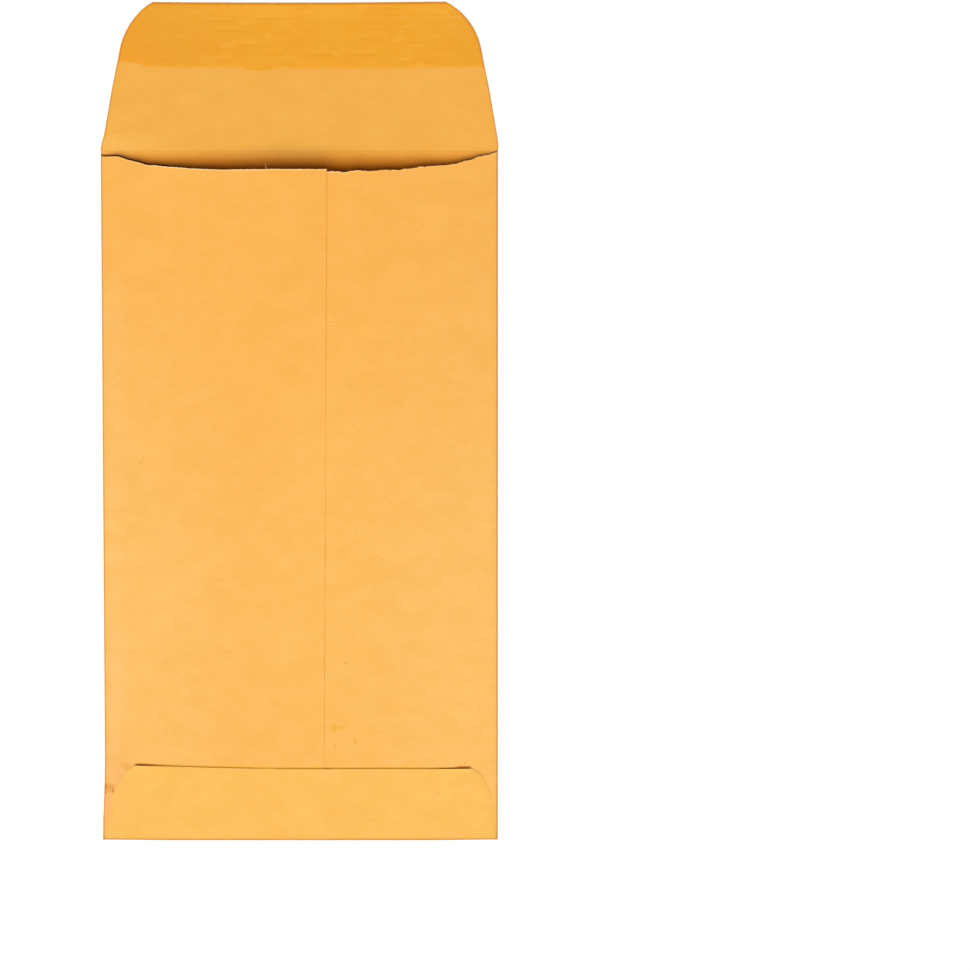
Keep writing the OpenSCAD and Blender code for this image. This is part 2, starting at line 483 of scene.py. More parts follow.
class Shading:
    """The node tree of a new material or world. A hex colour may feed any colour input."""

    def __init__(self, block: Any) -> None:
        """Start an empty tree in the material or world."""
        block.use_nodes = True
        self.block = block
        self.tree = block.node_tree
        self.tree.nodes.clear()

    def add(self, kind: str, links: dict[Any, Any] | None = None, out: Any = 0, **settings: Any) -> Value:
        """Add a shader node with its settings and links.

        Args:
            kind: Blender's name of the node type, without its first word.
            links: Input name or number to a number, a hex colour or the Value that feeds it.
            out: Name or number of the output.
            settings: Properties of the node.

        Returns:
            The output as a Value.
        """
        node = self.tree.nodes.new("ShaderNode" + kind)
        for key, value in settings.items():
            setattr(node, key, value)
        for key, value in (links or {}).items():
            if isinstance(value, Value):
                self.tree.links.new(value.socket, node.inputs[key])
            else:
                node.inputs[key].default_value = linear(value) if isinstance(value, str) else value
        return Value(self, node.outputs[out] if node.outputs else None)

    def blend(self, share: Any, a: Any, b: Any, mode: str = "MIX") -> Value:
        """Mix two colours by a share."""
        return self.add("Mix", {0: share, 6: a, 7: b}, 2, data_type="RGBA", blend_type=mode)

    def principled(self, links: dict[str, Any]) -> Any:
        """Finish a material by one principled shader, and return the material."""
        self.add("OutputMaterial", {"Surface": self.add("BsdfPrincipled", links)})
        return self.block


class Texture(Shading):
    """A material that knows the place of each point and the colour painted so far."""

    def __init__(self, name: str, sizes: EnvelopeSizes) -> None:
        """Start a material, with each point's place in metres, and along each axis in millimetres."""
        super().__init__(bpy.data.materials.new(name))
        self.sizes = sizes
        self.place = self.add("TexCoord", out="Object")
        in_mm = self.add("VectorMath", {0: self.place, "Scale": 1 / MM}, operation="SCALE")
        self.x, self.y, self.z = (self.add("SeparateXYZ", {0: in_mm}, axis) for axis in range(3))
        self.colour: Any = None

    def attribute(self, name: str) -> Value:
        """Read one of the values kept on the mesh's corners."""
        return self.add("Attribute", out="Fac", attribute_name=name)

    def mapped(self, shift: Size, scale: Size) -> Value:
        """Scale and shift the place in metres."""
        return self.add("Mapping", {"Vector": self.place, "Location": shift, "Scale": scale})

    def noise(self, kind: Noise) -> Value:
        """Draw a noise whose features have their own size along each axis."""
        scale = tuple(1 / (size * MM) for size in kind.size_mm)
        place = self.mapped((kind.shift, kind.shift * 1.7, 0), scale)
        return self.add("TexNoise", {"Vector": place, "Scale": 1.0, "Detail": kind.detail, "Roughness": 0.55})

    def paint(self, share: Any, colour: Any, mode: str = "MIX") -> None:
        """Lay a colour over the one painted so far."""
        self.colour = self.blend(share, self.colour, colour, mode)

    def mark(self, spot: Spot, grain: Value) -> None:
        """Paint a mark: full in its middle, gone past its half sizes, its edge frayed by the grain."""
        scale = (1 / (spot.half_x * MM), 1 / (spot.half_y * MM), 0.0)
        place = self.mapped((-spot.x / spot.half_x, -spot.y / spot.half_y, 0.0), scale)
        length = self.add("VectorMath", {0: place}, "Value", operation="LENGTH")
        self.paint((grain * 0.9 + length).level(0.6, 1.5, spot.strength, 0.0), spot.colour)

    def surface(self, height: Value, look: "KraftPaper | DriedGum") -> Any:
        """Finish the material with its colour and a fine relief.

        Args:
            height: The relief.
            look: Its strength, and the roughness and gloss, which are the same all over.

        Returns:
            The material.
        """
        bump = self.add("Bump", {"Height": height, "Strength": look.relief, "Distance": RELIEF_MM * MM})
        links = {"Base Color": self.colour, "Normal": bump, "Roughness": look.roughness}
        return self.principled(links | {"Specular IOR Level": look.specular})


@dataclass(frozen=True)
class KraftPaper:
    """Golden unbleached kraft paper, 28 lb, machine finished.

    It gives the eye a matt warm sheet with cloudy formation, fibres that lie mostly across the
    envelope, a paler torn edge with a painted highlight and a deeper tone on the inside face. Painted
    light and shade lie at its folds, seam, mouth and under the bottom flap's lip.
    """

    # Painted light: the back pales from deep towards its sides and its foot
    pale: str = "#FFC26A"
    # Painted light: the bottom flap a little lighter than the back
    lapped: str = "#FEC25F"
    deep: str = "#FAB453"
    inside: str = "#F4B14C"
    dark_fibre: str = "#E9A040"
    light_fibre: str = "#FFD084"
    thick_tint: str = "#FFFFFE"
    thin_tint: str = "#FFFCEC"
    # The torn edge's paler fibres, with a painted highlight
    torn_edge_highlight: str = "#FFE1A9"
    # Painted shade along the folds at the outline, the bottom fold's heel and turn, and the score crease
    fold_shade: str = "#CC8A3A"
    heel_shade: str = "#C08438"
    fold_turn_shade: str = "#F6B040"
    # Painted shadow in the seam's gap
    seam_shade: str = "#D88C20"
    # Painted shadow under the bottom flap's lip, darker at its corners
    lip_shadow: str = "#E39C0A"
    corner_lip_shadow: str = "#B05800"
    stain: str = "#CF8430"
    # Haze round the stain, also painted shade above the bottom flap's left corner
    haze_and_shade: str = "#EA9E4A"
    ochre: str = "#F0AE2E"
    # Dark flecks, also the painted shadow beside a lying fibre
    fleck_and_fibre_shadow: str = "#C98324"
    # Painted shade inside the pocket's mouth and in the nook under the torn lip
    pocket: str = "#FF9206"
    nook: str = "#7A1200"
    speck: str = "#DDA040"
    # Painted light along the left fold, pale and rosy
    pale_strip: str = "#FFC87C"
    rosy_strip: str = "#FEB36C"
    sunny: str = "#FEC163"
    lit_score: str = "#FFC162"
    roughness: float = 0.82
    specular: float = 0.28
    relief: float = 0.22
    # Real fibres are about 3 mm by 0.03 mm. They are drawn 0.2 mm wide, one pixel of the render
    dark_fibres: Noise = Noise((1.9, 0.21, 0.6), 2.0, 0.53)
    pale_fibres: Noise = Noise((1.9, 0.21, 0.6), 2.0, 0.91)
    clouds: Noise = Noise((7.0, 4.0, 6.0), 3.0, 0.17)
    drifts: Noise = Noise((55.0, 42.0, 60.0), 2.0, 0.31)
    grains: Noise = Noise((0.5, 0.24, 0.4), 2.0, 0.71)
    mottles: Noise = Noise((2.4, 1.9, 2.2), 2.0, 0.43)
    specks: Noise = Noise((0.95, 0.75, 0.85), 1.0, 0.29)
    # Stretches where the seam stands a trace open and its painted shadow is stronger: middle, half length
    # and added strength
    seam_openings: tuple[Size, ...] = (
        (-18.5, 4.5, 0.24),
        (-28.5, 5.5, 0.46),
        (-46.0, 6.3, 0.42),
        (-58.5, 4.5, 0.25),
    )

    def material(self, sizes: EnvelopeSizes) -> Any:
        """Build the paper's material.

        Args:
            sizes: The envelope's sizes, for the places of its folds.

        Returns:
            The material.
        """
        t = Texture("golden_kraft_paper", sizes)
        drift, cloud, grain = t.noise(self.drifts), t.noise(self.clouds), t.noise(self.grains)
        fibres, rim = t.noise(self.dark_fibres), t.attribute("rim")
        inside, lapped = t.attribute("inside"), t.attribute("lapped")
        self.back(t, drift)
        # Painted light: the bottom flap a little lighter than the back
        t.paint(lapped * 0.75, self.lapped)
        t.paint(inside, self.within(t, drift))
        for tone in self.tones(sizes):
            t.mark(tone, grain)
        self.formation(t, inside, cloud, grain, fibres)
        # Painted shade where the folds turn away at the outline, and along the bottom fold's heel
        t.paint(rim.level(0.2, 1.5, 0.22, 0.0), self.fold_turn_shade)
        t.paint(rim.level(0.1, 0.42, 0.7, 0.0), self.fold_shade)
        t.paint((t.y - sizes.bottom_y).level(0.25, 0.5, 0.5, 0.0), self.heel_shade)
        # Painted shadow in the seam's narrow gap
        t.paint(self.seam_shadow(t), self.seam_shade)
        # Painted shadow under the bottom flap's lip, darker towards its corners
        by_corner = t.x.level(-33.0, -22.0, 1.0, 0.0) + t.x.level(25.5, 31.5)
        under = t.blend(by_corner, self.lip_shadow, self.corner_lip_shadow)
        t.paint(self.under_lip(t) * (1.0 - lapped), under)
        for spot in self.spots(sizes):
            t.mark(spot, grain)
        # The torn lip's paler fibres, with a painted highlight where it catches the light
        t.paint(self.torn_share(t, inside, cloud), self.torn_edge_highlight)
        relief = cloud * 0.5 + fibres * 0.6 + grain * 0.4
        return t.surface(relief, self)

    def back(self, t: Texture, drift: Value) -> None:
        """Paint the outside face.

        Painted light makes it paler towards its sides and its foot. A rosy strip lies low along the left
        fold, and a pale one below the mouth, both painted light.
        """
        # Painted light: paler towards the sides and the foot
        side = abs(t.x).level(6.0, 34.0)
        fall = t.y.level(-42.0, 42.0, 1.0, 0.0)
        paleness = drift * 0.3 + fall * 0.45 - 0.13 + side * (fall * 0.35 + 0.2)
        t.colour = t.blend(paleness, self.deep, self.pale)
        # Painted light: rosy and pale strips along the left fold
        low = (t.y - t.sizes.bottom_y).level(19.0, 24.0, 1.0, 0.0)
        t.paint(t.x.level(-36.5, -33.0, 0.35, 0.0) * low, self.rosy_strip)
        t.paint(t.x.level(-37.5, -33.5, 0.28, 0.0) * t.y.level(20.0, 34.0, 1.0, 0.0), self.pale_strip)

    def within(self, t: Texture, drift: Value) -> Value:
        """Return the inside face's colour, with painted shade: deeper in the pocket, along the score crease
        and in the nook under the torn lip.
        """
        over = t.y - t.sizes.score_y
        colour = t.blend(drift.level(0.3, 0.7, 0.0, 0.25), self.inside, self.deep)
        # Painted shade in the pocket, fading out just past the score line
        colour = t.blend(over.level(-4.0, 1.4, 1.0, 0.0), colour, self.pocket)
        # Painted shade along the score crease
        colour = t.blend(abs(over).level(0.04, 0.18, 0.16, 0.0), colour, self.fold_shade)
        # Painted shade in the nook under the torn lip
        past_lip = t.attribute("over_lip") - t.x.level(-27.0, -14.0, 0.24, 0.0)
        nook = past_lip.level(0.05, 0.35, 0.7, 0.0) * t.x.level(22.0, 34.0, 1.0, 0.55)
        return t.blend(nook, colour, self.nook)

    def formation(self, t: Texture, inside: Value, cloud: Value, grain: Value, fibres: Value) -> None:
        """Lay the pulp's clouds, thin places, specks and fibres over the colour, fainter on the inside."""
        shade = cloud.level(0.25, 0.75, 0.98, 1.015) * grain.level(0.2, 0.8, 0.985, 1.012)
        t.paint(1.0, t.add("CombineColor", {0: shade, 1: shade, 2: shade}), "MULTIPLY")
        thickness = (t.noise(self.mottles) + cloud).level(0.8, 1.2)
        t.paint(1.0, t.blend(thickness, self.thin_tint, self.thick_tint), "MULTIPLY")
        shown = inside * -0.2 + 0.42
        t.paint(fibres.level(0.60, 0.78) * shown, self.dark_fibre)
        t.paint(t.noise(self.specks).level(0.72, 0.82, 0.0, 0.4), self.speck)
        t.paint(t.noise(self.pale_fibres).level(0.62, 0.80) * shown, self.light_fibre)

    def tones(self, sizes: EnvelopeSizes) -> list[Spot]:
        """List the broad tones under the paper's texture: down the back's middle and at the mouth's left."""
        return [
            Spot(5.0, -33.0, 22.0, 60.0, 0.5, self.sunny),
            Spot(-37.5, sizes.score_y + 1.7, 14.0, 2.6, 0.6, self.lit_score),
        ]

    def spots(self, sizes: EnvelopeSizes) -> list[Spot]:
        """List the marks of the back: soft tones, stain, ochre specks and loose fibres, with painted light
        along the left fold and painted shade by the bottom flap's left corner and beside a lying fibre.

        Each row has the place across and up from the bottom fold, half sizes, strength and colour.
        """
        rows = (
            # Painted light: pale and rosy strips along the left fold
            (-36.8, 32.0, 2.6, 17.0, 0.3, self.pale_strip),
            (-38.6, 7.0, 1.1, 4.0, 0.7, self.rosy_strip),
            (-36.5, 13.4, 1.6, 2.0, 0.4, self.rosy_strip),
            # Painted shade just above the bottom flap's left corner
            (-34.9, 15.0, 1.5, 1.1, 0.5, self.haze_and_shade),
            (-38.1, 10.9, 1.6, 0.8, 0.8, self.haze_and_shade),
            (-38.4, 10.1, 0.9, 0.7, 0.7, self.haze_and_shade),
            (-38.95, 10.9, 0.4, 0.9, 0.85, self.stain),
            (-39.0, 9.7, 0.3, 0.6, 0.6, self.stain),
            (-37.55, 10.1, 0.45, 0.8, 0.8, self.stain),
            (7.1, 22.7, 0.85, 1.0, 0.85, self.ochre),
            (8.5, 22.7, 1.5, 0.6, 0.45, self.ochre),
            (11.3, 20.0, 0.5, 0.95, 0.65, self.ochre),
            (7.3, 19.2, 0.7, 0.7, 0.45, self.ochre),
            (7.2, 18.4, 0.13, 0.5, 0.6, self.fleck_and_fibre_shadow),
            (14.0, 4.0, 1.0, 0.17, 0.4, self.fleck_and_fibre_shadow),
            (27.8, 9.6, 0.35, 0.22, 0.4, self.fleck_and_fibre_shadow),
            (5.15, 103.9, 0.25, 0.2, 0.7, self.light_fibre),
            (6.3, 103.9, 0.65, 0.14, 0.55, self.light_fibre),
            # Painted shadow beside the lying fibre
            (6.3, 103.65, 0.65, 0.14, 0.4, self.fleck_and_fibre_shadow),
        )
        return [Spot(x, sizes.bottom_y + up, *rest) for x, up, *rest in rows]

    def seam_shadow(self, t: Texture) -> Value:
        """Return the share of painted shadow in the seam's narrow gap, on the lower ply beside the upper one.

        It is a line along the seam, strong at the throat and faint further down but for the stretches
        that stand open, only on the back and only above the bottom flap.
        """
        s = t.sizes
        past = t.x - (t.y - s.seam_y) * s.seam_tilt - s.seam_x
        line = past.level(-0.06, 0.0) * past.level(0.04, 0.18, 1.0, 0.0)
        strength = t.y.level(-3.0, 9.0, 0.1, 0.36) + t.y.level(37.0, 43.0, 0.0, 0.14)
        for middle, half, share in self.seam_openings:
            strength = strength + abs(t.y - middle).level(half - 1.5, half + 1.5, share, 0.0)
        return line * t.z.level(0.3, 0.5) * (t.y - s.bottom_y).level(14.0, 14.6) * strength

    def under_lip(self, t: Texture) -> Value:
        """Return the share of painted shadow on the narrow strip that the bottom flap's lip shades, warming
        that shadow.

        The lip's line is the climbing curve of BottomFlap.top_wave.
        """
        lip = BottomFlap(t.sizes)
        way = t.x.maths("MULTIPLY_ADD", -1 / lip.climb_reach, lip.climb_from / lip.climb_reach, clamp=True)
        climb = way.maths("POWER", lip.climb_power) * lip.climb
        over = t.y - climb - (t.sizes.bottom_y + lip.height - lip.drop)
        wide = t.x.level(31.0, 32.5, 0.0, 0.22) + t.x.level(-31.0, -26.0, 0.14, 0.0)
        strip = over.level(-0.06, -0.02) * (over - wide).level(0.2, 0.45, 0.93, 0.0)
        ends = t.x.level(-33.5, -32.5) * t.x.level(34.3, 35.0, 1.0, 0.0)
        return strip * ends * t.z.level(0.3, 0.36)

    def torn_share(self, t: Texture, inside: Value, cloud: Value) -> Value:
        """Return how plainly the torn edge and its painted highlight show.

        Well on the left ply, in patches on the right one. It is faint on the left ply's shoulder, and stays
        off the inside face.
        """
        lip = t.attribute("torn").level(0.05, 0.3, 0.85, 0.0) * inside.level(0.1, 0.6, 1.0, 0.0)
        shoulder = t.x.level(-39.0, -38.5) * t.x.level(-37.2, -34.5, 0.3, 1.0)
        return lip * shoulder * t.x.level(10.5, 13.5, 1.0, 0.35) * cloud.level(0.3, 0.6, 0.55, 1.0)


@dataclass(frozen=True)
class DriedGum:
    """Dried remoistening gum, rolled on in one band.

    It gives the eye a deeper orange with a slight sheen and faint streaks along the band.
    """

    main: str = "#F1A528"
    pale: str = "#F5A92E"
    light: str = "#F6AE3A"
    streak: str = "#EA9B0E"
    orange: str = "#F29E26"
    dash: str = "#F8B44C"
    end_tone: str = "#EA9F2C"
    # Painted shade along the film's outline
    edge: str = "#C87E1A"
    roughness: float = 0.55
    specular: float = 0.15
    relief: float = 0.2
    # Depth of the paler strip along the flap's top, where a broken line ends it
    strip: float = 2.95
    streaks: Noise = Noise((16.0, 0.9, 4.0), 3.0, 0.23)
    mottles: Noise = Noise((3.8, 1.5, 3.0), 3.0, 0.37)
    blotches: Noise = Noise((9.0, 6.0, 8.0), 2.0, 0.61)
    breaks: Noise = Noise((7.0, 9.0, 8.0), 1.0, 0.83)

    def material(self, sizes: EnvelopeSizes) -> Any:
        """Build the gum's material.

        Args:
            sizes: The envelope's sizes, for the place of the thin strip at the flap's edge.

        Returns:
            The material.
        """
        t = Texture("dried_gum", sizes)
        mottle = t.noise(self.mottles)
        deep = sizes.top_y - t.y
        t.colour = t.blend(deep.level(self.strip - 0.05, self.strip + 0.35), self.pale, self.main)
        t.paint(t.noise(self.blotches).level(0.45, 0.7, 0.0, 0.6), self.orange)
        line = abs(deep - self.strip).level(0.1, 0.35, 0.45, 0.0)
        t.paint(line * t.noise(self.breaks).level(0.48, 0.62), self.dash)
        t.paint(deep.level(0.4, 0.9, 0.5, 0.0), self.orange)
        t.paint(t.noise(self.streaks).level(0.48, 0.75, 0.0, 0.65), self.streak)
        t.paint(mottle.level(0.5, 0.75, 0.0, 0.8), self.light)
        # Deeper towards both ends of the band
        t.paint(t.x.level(-30.0, -5.0, 0.5, 0.0) + t.x.level(26.0, 34.0, 0.0, 0.35), self.end_tone)
        t.paint(t.x.level(-36.5, -20.0, 0.9, 0.0) * deep.level(7.0, 12.5, 0.2, 1.0), self.orange)
        # Painted shade along the gum's outline
        t.paint(t.attribute("rim").level(0.2, 0.55, 0.7, 0.0), self.edge)
        return t.surface(mottle, self)


@dataclass
class SealFlap:
    """The seal flap's outline and lie: leaning sides, round corners and a straight top."""

    sizes: EnvelopeSizes
    lean: float = 9.7
    corner_r: float = 13.4
    top_cut: float = 1.4
    curl: float = 0.03
    curl_power: float = 1.8
    wave: float = 0.02
    swell: float = 0.2

    def half_width(self, h: Array) -> Array:
        """Half of the flap's width at a height above the score line.

        The side leans in evenly up to where the corner's arc takes over. A slight swell starts just
        over the score line and dies out before the arc. The arc touches the leaning side.
        """
        lean = math.radians(self.lean)
        cy = self.sizes.flap_l + self.top_cut - self.corner_r
        cx = self.sizes.half_w - cy * math.tan(lean) - self.corner_r / math.cos(lean)
        straight = self.sizes.half_w - h * math.tan(lean)
        straight = straight + self.swell * smooth(0.0, 0.8, h) * (1 - smooth(12.0, 20.0, h))
        arc = cx + np.sqrt(np.clip(self.corner_r**2 - (h - cy) ** 2, 0, None))
        return np.where(h < cy + self.corner_r * math.sin(lean), straight, arc)

    def under(self, x: Array, h: Array) -> Array:
        """Height of the flap's underside: a faint curl that grows towards the gum, with soft waves."""
        u = np.clip(h / self.sizes.flap_l, 0, 1)
        lift = self.curl * u**self.curl_power * (0.8 + 0.2 * np.cos(x / 11.0))
        return np.clip(lift + self.wave * u * (1 + waves(x, h, 12, 24.0)), 0.0, None)


@dataclass
class BottomFlap:
    """The bottom flap: its outline and how it lies on the glued back plies."""

    sizes: EnvelopeSizes
    height: float = 14.55
    foot_inset: float = 0.04
    heel: float = 0.26
    knee: float = 0.9
    inset: float = 1.3
    bow_start: float = 0.55
    bow: float = 2.5
    bow_power: float = 1.5
    crown: float = 1.0
    top_half_w: float = 34.5
    skew: float = 0.45
    drop: float = 0.14
    climb: float = 0.68
    climb_from: float = -5.0
    climb_reach: float = 28.0
    climb_power: float = 1.12
    right_rise: float = 0.01
    waver: float = 0.03
    lip: float = 0.02
    lip_h: float = 0.6
    corner_lip: float = 0.18
    corner_x: float = 32.5
    pressed: float = 0.07

    @property
    def nose_r(self) -> float:
        """Outer radius of the bottom fold round three plies."""
        return (3 * self.sizes.paper_t + self.sizes.nip_gap) / 2 + self.sizes.ply_gap

    def half_width(self, h: Array) -> Array:
        """Half of the flap's width at a height above the bottom fold.

        A side that leans in from its heel, a bowed side and a short slant to the top corner.
        """
        heel = self.foot_inset + (self.heel - self.foot_inset) * smooth(self.nose_r, self.knee, h)
        start, slant_from = self.bow_start * self.height, self.height - self.crown
        lean = (self.inset - heel) * np.clip(h / start, 0, 1)
        bowed = self.bow * np.clip((h - start) / (slant_from - start), 0, None) ** self.bow_power
        side = self.sizes.half_w - heel - lean - bowed
        share = np.clip((h - slant_from) / self.crown, 0, 1)
        return side + (self.top_half_w - side) * share**1.6

    def top_wave(self, x: Array) -> Array:
        """Rise of the top edge: low and level, it climbs to the left corner and a little at the right."""
        left = self.climb * np.clip((self.climb_from - x) / self.climb_reach, 0, None) ** self.climb_power
        right = self.right_rise * smooth(30.0, 34.0, x)
        return left + right - self.drop + self.waver * ragged(x, 44, 6.0)

    def lift(self, x: Array, h: Array) -> Array:
        """Rise of the flap off the back near its top edge, more at its corners where no glue holds."""
        near = np.exp(-(self.height - h) / self.lip_h)
        corner = np.exp(-np.clip(self.corner_x - np.abs(x), 0, None) / np.where(x < 0, 2.5, 4.5))
        tucked = 1 - 0.85 * np.where(x < 0, smooth(34.0, 34.6, -x), smooth(33.0, 34.4, x))
        return near * (self.lip + self.corner_lip * corner) * tucked


def left_throat() -> Throat:
    """Describe the throat line of the upper ply, left of the seam: a shoulder and a clean tear."""
    tears = (
        Tear(-30.6, 0.9, 0.17),
        Tear(-24.0, 2.8, -0.09),
        Tear(-14.7, 2.8, 0.08),
        Tear(-2.1, 6.0, -0.04),
    )
    return Throat(3.93, 4.8, 0.02, 0.05, seed=71, shoulder_w=3.5, shoulder_dip=1.06, tears=tears)


def right_throat() -> Throat:
    """Describe the throat line of the lower ply, right of the seam: a ragged climb to the fold."""
    tears = (
        Tear(9.1, 1.3, 0.2),
        Tear(11.8, 0.6, -0.15),
        Tear(17.2, 1.3, -0.13),
        Tear(24.4, 0.4, -0.12),
        Tear(24.7, 2.8, -0.19),
        Tear(27.4, 0.9, -0.1),
        Tear(31.0, 1.3, 0.15),
        Tear(36.4, 0.9, -0.21),
    )
    return Throat(4.3, 3.6, 0.06, 0.09, seed=83, shoulder_w=0.3, shoulder_dip=0.15, tears=tears)


@dataclass
class FoldedSheet:
    """The one sheet of paper: back plies, side folds, front, bottom flap and seal flap."""

    sizes: EnvelopeSizes
    seal_flap: SealFlap
    bottom_flap: BottomFlap
    left_throat: Throat = field(default_factory=left_throat)
    right_throat: Throat = field(default_factory=right_throat)
    fibre: LooseFibre = LooseFibre()
    ply_columns: int = 205
    fold_columns: int = 7
    front_columns: int = 112
    body_rows: int = 56
    flap_rows: int = 34
    nose_rows: int = 8
    bottom_rows: int = 24
    foot_rows: Size = (0.33, 0.45, 0.65)
    throat_crowding: float = 1.7
    score_inset: float = 0.03
    root_h: float = 0.06
    # Share of the gape that the mouth's deepest shade reaches out over
    shade_reach: float = 0.03

    def build(self) -> Any:
        """Build the sheet's mesh, with the loose fibre of its lip, and return its object."""
        s = self.sizes
        sheet = SheetMesh()
        body, front = self.body(sheet)
        self.seal(sheet, body[-1, front])
        self.bottom(sheet, body[0, front])
        corners, faces, values = sheet.closed()
        values["rim"] = self.rim(corners)
        values["over_lip"] = self.over_lip(corners)
        lip_y = s.score_y - self.left_throat.depth(np.array(self.fibre.x), s.half_w)
        lip_z = 2 * s.fold_r(lip_y) + s.bow(np.array(self.fibre.x), lip_y) - s.paper_t / 2
        thread, thread_faces = self.fibre.shell(float(lip_y), float(lip_z))
        faces = np.concatenate([faces, thread_faces + len(corners)])
        corners = np.concatenate([corners, thread])
        on_thread = {"torn": self.fibre.torn, "inside": Face.OUTSIDE.value, "lapped": 0.0}
        for key in values:
            values[key] = np.concatenate([values[key], np.full(len(thread), on_thread.get(key, FAR))])
        return mesh_object("folded_sheet", s.out_of_square(corners), faces, values)

    def rim(self, corners: Array) -> Array:
        """Distance of each corner from the outline of the whole envelope, looked at from above."""
        s = self.sizes
        x, y = np.abs(corners[:, 0]), corners[:, 1]
        h = y - s.score_y
        side = np.where(h > 0, self.seal_flap.half_width(h), s.half_w) - x
        return np.clip(np.minimum(side, np.minimum(y - s.bottom_y, s.top_y - y)), 0.0, FAR)

    def over_lip(self, corners: Array) -> Array:
        """Distance of each corner past the throat line, less the reach of the mouth's deepest shade.

        The shade under the lip reaches further out where the mouth gapes more.
        """
        s = self.sizes
        x, y = corners[:, 0], corners[:, 1]
        left, right = self.left_throat.depth(x, s.half_w), self.right_throat.depth(x, s.half_w)
        lip_y = s.score_y - np.where(x < s.seam_x, left, right)
        gape = 2 * s.fold_r(lip_y) + s.bow(x, lip_y)
        return np.clip(y - lip_y - self.shade_reach * gape, -FAR, FAR)

    def body(self, sheet: SheetMesh) -> tuple[Array, slice]:
        """Add the pocket: a strip carried round its section from hidden edge to seam edge.

        Each row is one place along the envelope and each column one place round the section: right
        ply, right fold, front, left fold, left ply. Rows run from the bottom fold to the throat
        line of the plies or the score line of the front, crowded towards the top.

        Args:
            sheet: The mesh to add to.

        Returns:
            The corners' numbers, and the columns of the front.
        """
        s = self.sizes
        n, m, k = self.ply_columns, self.fold_columns, self.front_columns
        ply = np.linspace(0, 1, n)
        turn = np.linspace(0, 1, m + 2)[1:-1]
        q = np.linspace(0, 1, k)
        v = 1 - (1 - np.linspace(0, 1, self.body_rows)) ** self.throat_crowding
        start = s.bottom_y + self.bottom_flap.nose_r
        lap_x = s.seam_x - s.lap_w
        mouth_cx = s.half_w - float(s.fold_r(np.array(s.score_y)))
        right_x = lap_x + ply * (mouth_cx - lap_x)
        left_x = -mouth_cx + ply * (float(s.seam_at(np.array(s.score_y))) + mouth_cx)
        tops = [
            s.score_y - self.right_throat.depth(right_x, s.half_w),
            s.score_y - self.right_throat.shoulder_dip * (1 - turn),
            np.full(k, s.score_y),
            s.score_y - self.left_throat.shoulder_dip * turn,
            s.score_y - self.left_throat.depth(left_x, s.half_w),
        ]
        ys = [start + v[:, None] * (top[None, :] - start) for top in tops]
        outer, inner, torn = [], [], []
        for zone, y in enumerate(ys):
            r = s.fold_r(y)
            cx = s.half_w - r
            if zone in (0, 4):
                first, last = (lap_x, cx) if zone == 0 else (-cx, s.seam_at(y))
                x = first + ply * (last - first)
                z = 2 * r + s.bow(x, y)
                if zone == 4:
                    z = z + smooth(lap_x - s.lap_ramp, lap_x, x) * (s.paper_t + s.ply_gap)
                pair = ((x, z), (x, z - s.paper_t))
            elif zone == 2:
                cx = cx + (s.half_w - self.score_inset - cx) * smooth(-0.9, 0.0, y - s.score_y)
                x = cx * (1 - 2 * q)
                pair = ((x, np.zeros_like(x)), (x, np.full_like(x, s.paper_t)))
            else:
                hand = 1 if zone == 1 else -1
                angle = (0.5 - turn if zone == 1 else turn - 0.5) * math.pi
                pair = tuple(
                    (hand * (cx + rho * np.cos(angle)), r + rho * np.sin(angle)) for rho in (r, r - s.paper_t)
                )
            outer.append(np.stack([pair[0][0], y, pair[0][1]], axis=-1))
            inner.append(np.stack([pair[1][0], y, pair[1][1]], axis=-1))
            edge = tops[zone][None, :] - y if zone in (0, 4) else np.full_like(y, FAR)
            torn.append(np.clip(edge, 0, FAR))
        numbers = sheet.corners(np.concatenate(outer, 1), np.concatenate(inner, 1), np.concatenate(torn, 1))
        sheet.faces(numbers)
        return numbers, slice(n + m, n + m + k)

    def seal(self, sheet: SheetMesh, first: Array) -> None:
        """Carry the front on over the score line as the seal flap.

        Rows are heights above the score line, crowded towards it and towards the round corners.
        Each row spreads the front's columns over the flap's width there.

        Args:
            sheet: The mesh to add to.
            first: Numbers of the corners along the score line.
        """
        s = self.sizes
        w = np.linspace(0, 1, self.flap_rows + 1)[1:]
        h = s.flap_l * (w + 0.09 * np.sin(2 * math.pi * w) / (2 * math.pi) - 0.5 * w * (1 - w) * (0.5 - w))
        h = np.concatenate([[self.root_h], h])
        q = 1 - 2 * np.linspace(0, 1, self.front_columns)
        x = self.seal_flap.half_width(h)[:, None] * q[None, :]
        hh = np.broadcast_to(h[:, None], x.shape)
        z = self.seal_flap.under(x, hh)
        outer = np.stack([x, s.score_y + hh, z], axis=-1)
        inner = np.stack([x, s.score_y + hh, z + s.paper_t], axis=-1)
        numbers = sheet.corners(outer, inner)
        sheet.faces(np.concatenate([first[None, :], numbers]))

